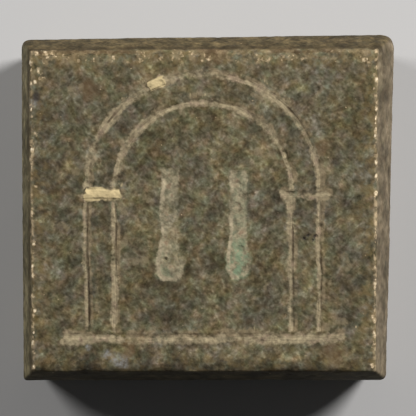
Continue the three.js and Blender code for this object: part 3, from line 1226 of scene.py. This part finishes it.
def add_slug_marks(m, colour):
    """A greyish tan body with a paler rim and green corrosion."""
    body = m.grained(m.ramp(m.noise(0.62, 2.5, 0.55, 21.0), SLUG_STOPS), 0.80, 1.20)
    colour = m.painted(colour, m.ragged(m.mark("body"), 0.45, 22.0), 0.88, body)
    green = m.times(m.mark("green"), m.spots(0.7, 3.0, 0.6, 24.0, 0.42, 0.58))
    colour = m.painted(colour, green, 0.74, GREEN)
    rim = m.grained(SLUG_RIM, 0.74, 1.28)
    return m.painted(colour, m.ragged(m.mark("rim"), 0.36, 25.0), 0.92, rim)


def wall_colour(m):
    """Smoother mottles for the walls, with a tone of its own for each wall; the left wall's is cooler, and
    lighter as painted light.
    """
    fine, coarse = m.noise(0.42, 1.5, 0.5, 60.0, m.upright), m.noise(0.95, 2.0, 0.5, 33.0, m.upright)
    mottles = m.spread(m.blend(fine, 0.38, coarse, 0.62), 0.38, 0.62)
    colour = m.mix(m.mark("rosy"), m.mix(mottles, *WALL), m.mix(mottles, *ROSY_WALL))
    colour = m.multiplied(colour, m.spots(1.5, 2.0, 0.5, 52.0, 0.34, 0.66, 0.60, 1.40, m.upright))
    colour = m.multiplied(colour, WARM_TINT, m.mark("warm"))
    blotches = m.spots(0.9, 3.0, 0.58, 63.0, 0.36, 0.64, 0.48, 1.62, m.upright)
    colour = m.multiplied(colour, blotches, m.times(m.mark("side"), 0.65))
    flakes = m.spots(0.30, 3.0, 0.6, 66.0, 0.36, 0.64, 0.60, 1.42, m.upright)
    colour = m.multiplied(colour, flakes, m.mark("warm"))
    return m.multiplied(colour, COOL_PAINTED_LIGHT_TINT, m.mark("cool_and_painted_light"))


def add_stains(m, colour):
    """The walls' colour, the left wall's lighter as partly painted light; painted shade on the walls and
    along the bottom edge of the face; and stains, dark patches and holes, lime, a darker band below the
    arrises and smears of tan on the face.
    """
    margin = m.times(m.mark("margin"), m.spots(0.8, 3.0, 0.6, 27.0, 0.46, 0.62))
    colour = m.painted(colour, margin, 0.50, OCHRE)
    blotches = m.spots(1.1, 4.0, 0.62, 61.0, 0.38, 0.62, 0.60, 1.40)
    colour = m.multiplied(colour, blotches, m.mark("blotch"))
    colour = m.painted(colour, m.mark("side"), 0.80, wall_colour(m))
    # Painted shade on the walls and along the bottom edge of the face
    colour = m.mix(m.mark("shade"), colour, SHADE)
    colour = m.painted(colour, m.mark("brown"), 0.60, BROWN)
    lime = m.times(m.mark("pale"), m.spots(0.35, 3.0, 0.65, 36.0, 0.42, 0.60, 0.25, 1.0))
    colour = m.painted(colour, lime, 0.85, LIME)
    colour = m.painted(colour, m.mark("dark"), 0.85, DARK)
    # The walls made darker just below the arrises
    colour = m.painted(colour, m.mark("darker_below_arris"), 0.85, DARKER_BELOW_ARRIS)
    colour = m.painted(colour, m.ragged(m.mark("brown_line"), 0.5, 64.0), 0.8, BROWN_LINE)
    tan_bits = m.maths("MAXIMUM", m.times(m.mark("smear"), 0.85), m.mark("fleck"))
    colour = m.painted(colour, m.ragged(tan_bits, 0.32, 37.0), 0.50, TAN_DULL)
    scratches = m.spots(0.17, 1.0, 0.5, 39.0, 0.60, 0.68, place=m.drawn_down)
    return m.painted(colour, m.times(m.mark("fleck"), scratches), 0.85, SCRATCH)


def add_bare_metal_and_highlights(m, colour):
    """Bronze worn through in a dotted line and beads along the arrises, in glints below the top edge and in
    a few specks, painted with bright highlights. Gives the colour, and how far the bronze is worn through
    and painted with highlight."""
    golden = m.times(m.mark("glint"), m.spots(0.7, 3.0, 0.6, 29.0, 0.48, 0.62))
    colour = m.painted(colour, golden, 0.55, GOLD_DULL)
    runs = m.times(m.mark("gold_and_highlight"), m.spots(2.2, 2.0, 0.5, 44.0, 0.38, 0.58, 0.25, 1.0))
    colour = m.painted(colour, m.times(runs, m.spots(0.6, 2.0, 0.5, 45.0, 0.42, 0.6)), 0.42, GOLD_HAZE)
    line = m.times(runs, m.spots(0.38, 0.5, 0.5, 20.0, 0.53, 0.62), 0.6)
    glints = m.times(golden, m.spots(0.26, 1.0, 0.5, 47.0, 0.62, 0.69))
    glints = m.times(glints, m.spots(0.9, 2.0, 0.5, 50.0, 0.4, 0.6, 0.4, 1.0))
    specks = m.times(m.spots(0.40, 1.0, 0.5, 31.0, 0.745, 0.80), 0.5)
    uneven = m.spots(0.2, 1.0, 0.5, 49.0, 0.3, 0.7, -0.3, 0.3)
    beads = m.spread(m.maths("ADD", m.mark("bead_and_highlight"), uneven), 0.30, 1.05)
    bare_and_highlight = m.maths("MAXIMUM", m.maths("MAXIMUM", line, glints), m.maths("MAXIMUM", specks, beads))
    # Painted highlight: the most worn spots lighten towards a bright gold
    metal_and_highlight = m.mix(m.spread(bare_and_highlight, 0.5, 1.0), GOLD, GOLD_PAINTED_HIGHLIGHT)
    return m.mix(bare_and_highlight, colour, metal_and_highlight), bare_and_highlight


def bronze_material():
    m = Shader("patina")
    colour = add_slug_marks(m, add_stroke_marks(m, add_stains(m, patina_colour(m))))
    colour, bare_and_highlight = add_bare_metal_and_highlights(m, colour)
    roughness = m.spread(bare_and_highlight, 0.0, 1.0, 0.82, 0.40)
    relief = m.times(patina_relief(m), m.spread(m.mark("side"), 0.0, 1.0, 1.0, 0.4))
    return m.finish(colour, roughness, m.times(bare_and_highlight, 0.2), relief, 0.055)


def strip_material():
    m = Shader("strip_tan")
    colour = add_stroke_marks(m, patina_colour(m))
    bright = m.multiplied(TAN_BRIGHT, m.spots(0.5, 3.0, 0.6, 26.0, 0.36, 0.64, 0.78, 1.12))
    colour = m.painted(colour, m.times(m.mark("lump"), m.mark("tan")), 0.85, bright)
    return m.finish(colour, 0.78, 0.0, patina_relief(m), 0.045)


def slug_material():
    m = Shader("slug_tan")
    return m.finish(add_slug_marks(m, patina_colour(m)), 0.8, 0.0, patina_relief(m), 0.055)


# Pieces

def dress(piece, material, node):
    """Gives a piece its material, and puts it in the place of a node of the part."""
    piece.data.materials.append(material)
    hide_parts(node)
    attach(piece, "root")


strip_tan, slug_tan = strip_material(), slug_material()
dress(make_block(), bronze_material(), "weight_block")
for stroke in strokes:
    dress(make_strip(stroke), strip_tan, stroke.name)
for slug in slugs:
    dress(make_slug(slug), slug_tan, slug.name)


# Floor, light and camera, in metres

# Each light's azimuth, elevation and power
LIGHTS = {"key": (55, 33, 2.5), "side": (-58, 33, 1.05)}
LIGHT_DISTANCE = 0.45
LIGHT_SIZE = 0.15
SKY_COLOUR = (0.95, 0.97, 1.0, 1)
SKY_STRENGTH = 0.04
# The photo's width, its scale and where the object's middle lies in it
PHOTO_WIDTH = 416
PIXEL = 0.0796 * MM
OBJECT_MIDDLE = (207.75, 207.5)
CAMERA_DISTANCE = 0.45


def make_floor():
    size = 3.0
    corners = [(-size, -size, 0), (size, -size, 0), (size, size, 0), (-size, size, 0)]
    mesh = bpy.data.meshes.new("floor")
    mesh.from_pydata(corners, [], [(0, 1, 2, 3)])
    floor = bpy.data.objects.new("floor", mesh)
    bpy.context.scene.collection.objects.link(floor)
    m = Shader("floor_pale")
    stops = [(0.0, (0.53, 0.52, 0.51)), (1.0, (0.58, 0.57, 0.56))]
    floor.data.materials.append(m.finish(m.ramp(m.noise(40.0), stops), 0.9))


def area_light(name, azimuth, elevation, power):
    """A soft light that faces the object. Azimuth 0 stands behind the top edge, and turns right."""
    a, e = math.radians(azimuth), math.radians(elevation)
    light = bpy.data.lights.new(name, "AREA")
    light.shape = "DISK"
    light.size = LIGHT_SIZE
    light.energy = power
    lamp = bpy.data.objects.new(name, light)
    way = np.array([math.sin(a) * math.cos(e), math.cos(a) * math.cos(e), math.sin(e)])
    lamp.location = way * LIGHT_DISTANCE
    lamp.rotation_euler = (math.pi / 2 - e, 0, math.pi - a)
    bpy.context.scene.collection.objects.link(lamp)


def make_sky():
    world = bpy.data.worlds.new("world")
    world.use_nodes = True
    background = world.node_tree.nodes["Background"]
    background.inputs["Color"].default_value = SKY_COLOUR
    background.inputs["Strength"].default_value = SKY_STRENGTH
    bpy.context.scene.world = world
    bpy.context.scene.view_settings.view_transform = "Standard"


def make_camera():
    camera = bpy.data.cameras.new("camera")
    camera.sensor_width = 36
    camera.lens = camera.sensor_width * CAMERA_DISTANCE / (PHOTO_WIDTH * PIXEL)
    camera.clip_start, camera.clip_end = 0.01, 10
    eye = bpy.data.objects.new("camera", camera)
    x = (PHOTO_WIDTH / 2 - OBJECT_MIDDLE[0]) * PIXEL
    y = -(PHOTO_WIDTH / 2 - OBJECT_MIDDLE[1]) * PIXEL
    eye.location = (x, y, CAMERA_DISTANCE + GIRTH_LEVEL * MM)
    bpy.context.scene.collection.objects.link(eye)
    bpy.context.scene.camera = eye


make_floor()
for light_name, light_values in LIGHTS.items():
    area_light(light_name, *light_values)
make_sky()
make_camera()
